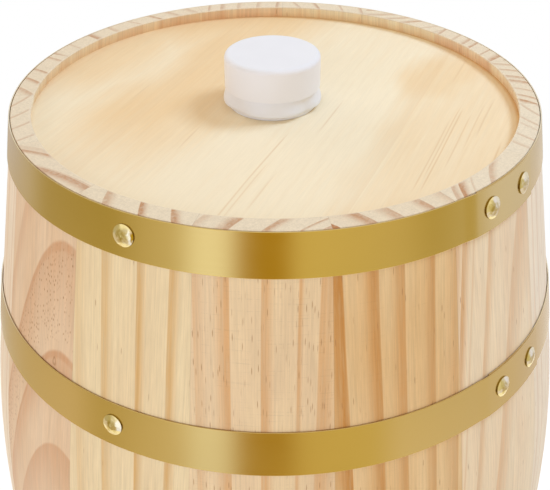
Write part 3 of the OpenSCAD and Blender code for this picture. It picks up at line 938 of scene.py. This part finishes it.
def fit_piece(piece, finish, slot, body, *replaced):
    """Gives a modelled piece its finish, its body and the solids that it stands for."""
    dress(piece, finish)
    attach(piece, body)
    if replaced:
        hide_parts(*replaced)


print("tools for modelled pieces are ready")

# %% Bend the four hoops
HOOP_T = 0.6
HOOP_EASE = 0.015
HOOP_PLAY = 0.03
CLIMB_L = 9.0
LAP_L = 26.0 + 2 * CLIMB_L
LAP_GAP = 0.01
RUN_STEPS, CLIMB_STEPS, LAP_STEPS = 178, 8, 10
EDGE_BREAK = 0.16
SMOOTH_RUN = 12
# A hoop has its drop below the rim, its height and the azimuth of its lap.
HOOPS = {"end_hoop": (0.1, 19.2, 50.0), "quarter_hoop": (87.5, 21.0, 50.6)}


def bend_strip(drop, height, lap_az):
    """One lapped hoop at the upper end, from its inner end on the wood to its outer end."""
    low = BARREL_H - drop - height
    wide_r = wood_r(low) + HOOP_PLAY
    narrowing = (wood_slope(low) - HOOP_EASE) * height
    lap, climb = [math.degrees(length / (wide_r - narrowing / 2)) for length in (LAP_L, CLIMB_L)]
    bpy.ops.object.select_all(action="DESELECT")
    bpy.ops.mesh.primitive_plane_add(size=1, rotation=(math.pi / 2, 0, 0))
    strip = bpy.context.object
    bpy.ops.object.mode_set(mode="EDIT")
    bpy.ops.transform.resize(value=(HOOP_T * MM, 1, height * MM), center_override=(0, 0, 0))
    bpy.ops.transform.translate(value=((wide_r + HOOP_T / 2) * MM, 0, (low + height / 2) * MM))
    pick(strip, lambda place, number: place.z > low + height / 2)
    bpy.ops.transform.translate(value=(-narrowing * MM, 0, 0))
    bpy.ops.mesh.select_all(action="SELECT")
    bpy.ops.mesh.bevel(offset=EDGE_BREAK * MM, segments=2, affect="VERTICES")
    bpy.ops.mesh.select_all(action="SELECT")
    bpy.ops.mesh.spin(steps=RUN_STEPS, angle=-math.radians(360 - climb), **AXIS)
    for step in range(CLIMB_STEPS):
        share, before = [(1 - math.cos(math.pi * k / CLIMB_STEPS)) / 2 for k in (step + 1, step)]
        bpy.ops.mesh.spin(steps=1, angle=-math.radians(climb / CLIMB_STEPS), **AXIS)
        turned = math.radians(climb * ((step + 1) / CLIMB_STEPS - 1))
        push = (share - before) * (HOOP_T + LAP_GAP) * MM
        bpy.ops.transform.translate(value=(push * math.cos(turned), push * math.sin(turned), 0))
    bpy.ops.mesh.spin(steps=LAP_STEPS, angle=-math.radians(lap), **AXIS)
    bpy.ops.object.mode_set(mode="OBJECT")
    only(strip)
    bpy.ops.object.transform_apply(location=True, rotation=True, scale=True)
    strip.rotation_euler.z = math.radians(lap_az - lap / 2 - 90)
    return strip


for kind, measures in HOOPS.items():
    strip = close_piece(bend_strip(*measures), "top_%s_strip" % kind, SMOOTH_RUN)
    foot = strip.copy()
    foot.data = strip.data.copy()
    bpy.context.collection.objects.link(foot)
    foot.scale.z, foot.location.z = -1, BARREL_H * MM
    close_piece(foot, "bottom_%s_strip" % kind, SMOOTH_RUN)
    for end, piece in (("top", strip), ("bottom", foot)):
        fit_piece(piece, brass, "hoop_brass", "barrel", "%s_%s" % (end, kind))
    print(kind, "bent:", len(strip.data.polygons), "faces, a copy at the foot")

# %% [markdown]
# ## Plastic and the rest
# Cap, lock ring and neck are moulded in white plastic. A little unevenness in its gloss keeps it from
# looking like paint. The liner inside is cloudier, the seal is foam, and the dowels are beech.

# %% Moulded finishes
CLOUD_MM = 14
CLOUD_LIGHT, GRAIN_LIGHT, GRAIN_ROUGH = 0.04, 0.03, 0.1
BEECH, BEECH_FLECK = colour(222, 184, 140), colour(190, 146, 104)
BEECH_GRAIN = (0.3, 2.0)
BEECH_ROUGH = 0.6
BEECH_MM = 0.05
# A moulded finish has a name, a tint, a roughness, the size and depth of its grain, and a sheen.
MOULDED = {
    "cap": ("cap_plastic", colour(233, 233, 239), 0.36, 0.5, 0.004, 0.2),
    "lock_ring": ("ring_plastic", colour(228, 229, 235), 0.4, 0.5, 0.006, 0.2),
    "filler_neck": ("neck_plastic", colour(236, 234, 230), 0.4, 0.5, 0.006),
    "liner": ("liner_plastic", colour(232, 230, 222), 0.5, 2.0, 0.05),
    "cap_seal": ("seal_foam", colour(214, 214, 210), 0.8, 0.4, 0.08),
}


def moulded(name, tint, rough, grain_mm, depth_mm, sheen=0.0):
    """A plain moulded or foamed finish with a fine, even grain."""
    bench = Bench(bpy.data.materials.new(name))
    x, y, z = place_mm(bench)
    grain = noise(bench, vector(bench, x / grain_mm, y / grain_mm, z / grain_mm), 3.0)
    cloud = noise(bench, vector(bench, x / CLOUD_MM, y / CLOUD_MM, z / CLOUD_MM), 1.0)
    light = 1.0 + (cloud - 0.5) * CLOUD_LIGHT + (grain - 0.5) * GRAIN_LIGHT
    inputs = {
        "Base Color": shade(light, tint),
        "Roughness": rough + (grain - 0.5) * GRAIN_ROUGH,
        "Sheen Weight": sheen,
    }
    return surface(bench, inputs, grain, depth_mm)


def dowel_beech():
    """Turned beech with short darker flecks."""
    bench = Bench(bpy.data.materials.new("dowel_beech"))
    x, y, z = place_mm(bench)
    flat, up = BEECH_GRAIN
    fleck = noise(bench, vector(bench, x * flat, y * flat, z * up), 3.0)
    tint = mix(fade(fleck, 0.3, 0.7), BEECH, BEECH_FLECK)
    inputs = {"Base Color": tint, "Roughness": BEECH_ROUGH + (fleck - 0.5) * 0.2}
    return surface(bench, inputs, fleck, BEECH_MM)


plastics = {name: moulded(*finish) for name, finish in MOULDED.items()}
for name, finish in plastics.items():
    dress(nodes[name], finish)
beech = dowel_beech()
for end in ("top", "bottom"):
    dress(nodes[end + "_head_dowels"], beech)
print("moulded finishes on", ", ".join(MOULDED))

# %% [markdown]
# ### Lock ring
# The ring that holds the neck down is a soft moulding: four broad lobes for the fingers, a notch between
# them and no sharp edge anywhere. A loop of vertices is extruded from level to level, each level with its
# height, its radius and its share in the lobes. The corners are then pulled out to lobes or pushed in to
# notches, and a subdivision surface rounds it all.

# %% Model the lock ring
FILLER_X = -1.2
FILLER = (FILLER_X * MM, 0, 0)
RING_SIDES = 32
RING_LOOPS = [
    (444.25, 21.2, 0.0), (445.9, 21.3, 0.0), (446.3, 22.5, 1.0), (447.1, 23.0, 1.0),
    (448.6, 22.9, 0.9), (450.6, 22.5, 0.6), (452.6, 22.3, 0.3), (453.75, 22.3, 0.0),
    (453.85, 22.0, 0.0), (453.85, 20.6, 0.0), (453.4, 19.9, 0.0), (444.8, 19.9, 0.0),
    (444.25, 20.6, 0.0),
]
LOBE_CORNERS = 8
LOBE_PULLS = (0.03, 0.035, 0.04, 0.0, -0.06)
ROUNDING = 3
SMOOTH_ALL = 180


def from_lobe(number):
    """How many corners a vertex is away from the middle of its lobe."""
    corner = number % LOBE_CORNERS
    return min(corner, LOBE_CORNERS - corner)


bpy.ops.object.select_all(action="DESELECT")
level, radius, _ = RING_LOOPS[0]
bpy.ops.mesh.primitive_circle_add(
    vertices=RING_SIDES, radius=radius * MM, location=(FILLER[0], 0, level * MM)
)
ring = bpy.context.object
bpy.ops.object.mode_set(mode="EDIT")
bpy.ops.mesh.select_all(action="SELECT")
for next_level, next_radius, _ in RING_LOOPS[1:]:
    bpy.ops.mesh.extrude_region_move(
        TRANSFORM_OT_translate={"value": (0, 0, (next_level - level) * MM)}
    )
    scale = next_radius / radius
    bpy.ops.transform.resize(value=(scale, scale, 1), center_override=FILLER)
    level, radius = next_level, next_radius
pick(ring, lambda place, number: number // RING_SIDES in (0, len(RING_LOOPS) - 1))
bpy.ops.mesh.bridge_edge_loops()
for row, (_, _, share) in enumerate(RING_LOOPS):
    for steps, pull in enumerate(LOBE_PULLS if share else ()):
        pick(ring, lambda place, number: (number // RING_SIDES, from_lobe(number)) == (row, steps))
        scale = 1 + share * pull
        bpy.ops.transform.resize(value=(scale, scale, 1), center_override=FILLER)
bpy.ops.object.mode_set(mode="OBJECT")
rounding = ring.modifiers.new("rounding", "SUBSURF")
rounding.levels = rounding.render_levels = ROUNDING
bpy.ops.object.modifier_apply(modifier=rounding.name)
close_piece(ring, "lock_ring_moulding", SMOOTH_ALL)
fit_piece(ring, plastics["lock_ring"], "ring_plastic", "barrel", "lock_ring")
reach = max(math.hypot(v.co.x - FILLER[0], v.co.y) for v in ring.data.vertices) / MM
print("lock ring reaches %.1f mm from its axis" % reach)

# %% [markdown]
# ### Threads
# The cap turns on a coarse thread, three turns from shut to free. The neck carries one ridge and the cap
# another, half a pitch apart, so they pass each other as the cap climbs. Each ridge is a small trapezium
# whose crest corners are bevelled, wound up by a Screw modifier, with its ends drawn down to nothing.

# %% Wind the two ridges
PITCH = 4.0
RIDGE_W = 1.6
CREST_SHARE = 0.45
CREST_BREAK = 0.2
RUN_OUT = (0.1, 0.1, 0.4)
WIND_STEPS = 36
SMOOTH_RIDGE = 35
NECK_RIDGE = dict(root_r=19.15, crest_r=20.45, start_z=455.4, turns=2.4)
CAP_RIDGE = dict(root_r=20.95, crest_r=19.75, start_z=457.4, turns=1.9)


def wind_ridge(name, root_r, crest_r, start_z, turns):
    """A helical ridge round the filler's axis, from root to crest."""
    bpy.ops.object.select_all(action="DESELECT")
    bpy.ops.mesh.primitive_plane_add(size=1, rotation=(math.pi / 2, 0, 0))
    ridge = bpy.context.object
    bpy.ops.object.mode_set(mode="EDIT")
    depth = abs(crest_r - root_r)
    bpy.ops.transform.resize(value=(depth * MM, 1, RIDGE_W * MM), center_override=(0, 0, 0))
    bpy.ops.transform.translate(value=((root_r + crest_r) / 2 * MM, 0, start_z * MM))
    pick(ridge, lambda place, number: abs(place.x - crest_r) < depth / 2)
    bpy.ops.transform.resize(value=(1, 1, CREST_SHARE), center_override=(0, 0, start_z * MM))
    bpy.ops.mesh.bevel(offset=CREST_BREAK * MM, segments=1, affect="VERTICES")
    bpy.ops.mesh.select_all(action="SELECT")
    bpy.ops.mesh.delete(type="ONLY_FACE")
    bpy.ops.object.mode_set(mode="OBJECT")
    corners = len(ridge.data.vertices)
    only(ridge)
    bpy.ops.object.transform_apply(location=True, rotation=True, scale=True)
    end_turn = math.tau * turns
    winding = ridge.modifiers.new("winding", "SCREW")
    winding.angle = end_turn
    winding.screw_offset = PITCH * turns * MM
    winding.steps = winding.render_steps = int(WIND_STEPS * turns)
    bpy.ops.object.modifier_apply(modifier=winding.name)
    count = len(ridge.data.vertices)
    ends = [
        ((0.0, start_z), lambda place, number: number < corners),
        ((end_turn, start_z + PITCH * turns), lambda place, number: number >= count - corners),
    ]
    bpy.ops.object.mode_set(mode="EDIT")
    for (angle, level), test in ends:
        pick(ridge, test)
        root = (root_r * math.cos(angle) * MM, root_r * math.sin(angle) * MM, level * MM)
        bpy.ops.transform.resize(value=RUN_OUT, center_override=root)
    bpy.ops.mesh.select_all(action="SELECT")
    bpy.ops.mesh.fill_holes(sides=0)
    bpy.ops.object.mode_set(mode="OBJECT")
    ridge.location.x = FILLER_X * MM
    return close_piece(ridge, name, SMOOTH_RIDGE)


neck_ridge = wind_ridge("neck_thread", **NECK_RIDGE)
fit_piece(neck_ridge, plastics["filler_neck"], "neck_plastic", "barrel")
cap_ridge = wind_ridge("cap_thread", **CAP_RIDGE)
fit_piece(cap_ridge, plastics["cap"], "cap_plastic", "cap")
print("ridges of", len(neck_ridge.data.polygons), "and", len(cap_ridge.data.polygons), "faces")
